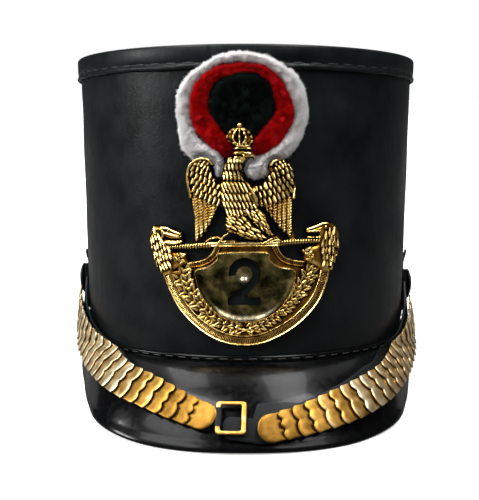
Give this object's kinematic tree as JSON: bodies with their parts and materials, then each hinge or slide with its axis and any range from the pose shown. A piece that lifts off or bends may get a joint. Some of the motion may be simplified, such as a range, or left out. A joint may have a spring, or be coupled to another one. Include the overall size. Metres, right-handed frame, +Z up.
{
  "type": "shako hat",
  "caption": "tall stiff leather shako with a deep patent peak, fur cockade, gilt eagle plate with a cut-out numeral, and brass chin scales buckled over the peak",
  "frame": {"origin": "centre of the bounding box in plan, on the surface that the hat rests on", "axes": "+Z up, the front with the peak towards -Y, the wearer's left towards +X; the hat leans back so that peak and back rim touch the surface"},
  "size_m": [0.2182, 0.2762, 0.2043],
  "materials": {
    "satin_leather": "satin black leather, lightly wrinkled",
    "patent_leather": "glossy black patent leather",
    "brass": "gilt brass, polished high spots and dark recesses",
    "green_fur": "deep dark green fur",
    "red_fur": "deep red fur",
    "white_fur": "deep white fur"
  },
  "bodies": {
    "root": {"crown_wall": "satin_leather", "crown_top": "satin_leather", "top_band": "satin_leather", "peak": "patent_leather", "pompom_centre": "green_fur", "pompom_ring_red": "red_fur", "pompom_ring_white": "white_fur", "eagle_plate": "brass", "strap_left": "satin_leather", "strap_right": "satin_leather", "buckle": "brass", "boss_left": "satin_leather", "boss_right": "satin_leather", "tab_left": "satin_leather", "tab_right": "satin_leather", "scale_left_01": "brass", "scale_left_02": "brass", "scale_left_03": "brass", "scale_left_04": "brass", "scale_left_05": "brass", "scale_left_06": "brass", "scale_left_07": "brass", "scale_left_08": "brass", "scale_left_09": "brass", "scale_left_10": "brass", "scale_left_11": "brass", "scale_left_12": "brass", "scale_left_13": "brass", "scale_left_14": "brass", "scale_left_15": "brass", "scale_left_16": "brass", "scale_left_17": "brass", "scale_left_18": "brass", "scale_left_19": "brass", "scale_left_20": "brass", "scale_left_21": "brass", "scale_right_01": "brass", "scale_right_02": "brass", "scale_right_03": "brass", "scale_right_04": "brass", "scale_right_05": "brass", "scale_right_06": "brass", "scale_right_07": "brass", "scale_right_08": "brass", "scale_right_09": "brass", "scale_right_10": "brass", "scale_right_11": "brass", "scale_right_12": "brass", "scale_right_13": "brass", "scale_right_14": "brass", "scale_right_15": "brass", "scale_right_16": "brass", "scale_right_17": "brass", "scale_right_18": "brass", "scale_right_19": "brass", "scale_right_20": "brass", "scale_right_21": "brass", "scale_right_22": "brass"}
  },
  "joints": []
}
